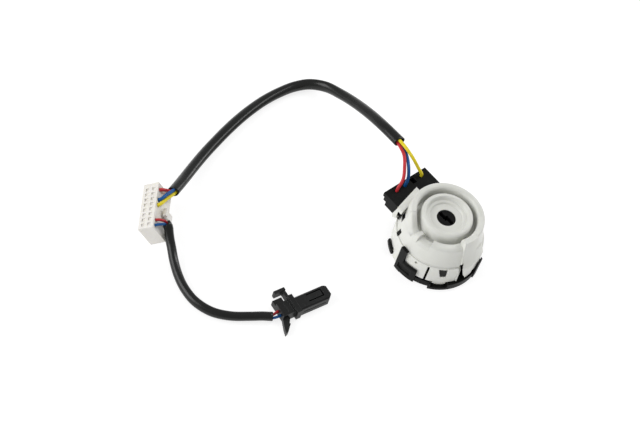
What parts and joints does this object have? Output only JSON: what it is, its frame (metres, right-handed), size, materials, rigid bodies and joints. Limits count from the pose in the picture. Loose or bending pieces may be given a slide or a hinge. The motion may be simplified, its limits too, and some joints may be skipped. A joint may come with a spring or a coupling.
{
  "type": "ignition switch",
  "caption": "Round moulded ignition switch with a slotted rotor, a side terminal block and a sleeved wire harness with a flat connector and a small plug.",
  "frame": {"origin": "where the turning axis of the rotor meets the underside of the base", "axes": "+Z along the rotor axis towards the side of the key, -X towards the terminal block"},
  "size_m": [0.1357, 0.1373, 0.0326],
  "materials": {
    "white_plastic": "satin moulded",
    "black_plastic": "satin moulded",
    "rotor_plastic": "satin moulded",
    "plug_plastic": "satin moulded",
    "cream_plastic": "soft gloss moulded",
    "brass": "stamped",
    "spring_steel": "drawn wire",
    "ball_steel": "polished",
    "wire_red": "soft gloss insulation",
    "wire_blue": "soft gloss insulation",
    "wire_yellow": "soft gloss insulation",
    "sleeve": "soft sheen tubing"
  },
  "bodies": {
    "body": {"housing": "white_plastic", "base": "black_plastic", "terminal_block": "black_plastic", "return_spring": "spring_steel", "contact_battery": "brass", "contact_accessory": "brass", "contact_ignition": "brass", "wire_red_switch": "wire_red", "wire_blue_switch": "wire_blue", "wire_yellow_switch": "wire_yellow", "long_sleeve": "sleeve", "wire_red_connector": "wire_red", "wire_blue_connector": "wire_blue", "wire_yellow_connector": "wire_yellow", "connector_housing": "cream_plastic", "connector_cover": "cream_plastic", "connector_contacts": "brass", "lead_red_connector": "wire_red", "lead_blue_connector": "wire_blue", "short_sleeve": "sleeve", "lead_red_plug": "wire_red", "lead_blue_plug": "wire_blue", "plug_housing": "plug_plastic", "plug_retainer": "plug_plastic", "plug_contacts": "brass"},
    "rotor": {"rotor": "rotor_plastic", "contact_plate": "brass", "contact_springs": "spring_steel", "detent_balls": "ball_steel", "detent_spring": "spring_steel"}
  },
  "joints": [
    {"name": "rotor_turn", "type": "hinge", "parent": "body", "child": "rotor", "pos_m": [0, 0, 0], "axis": [0, 0, -1], "range_deg": [0, 110], "deforming": ["return_spring"]}
  ]
}
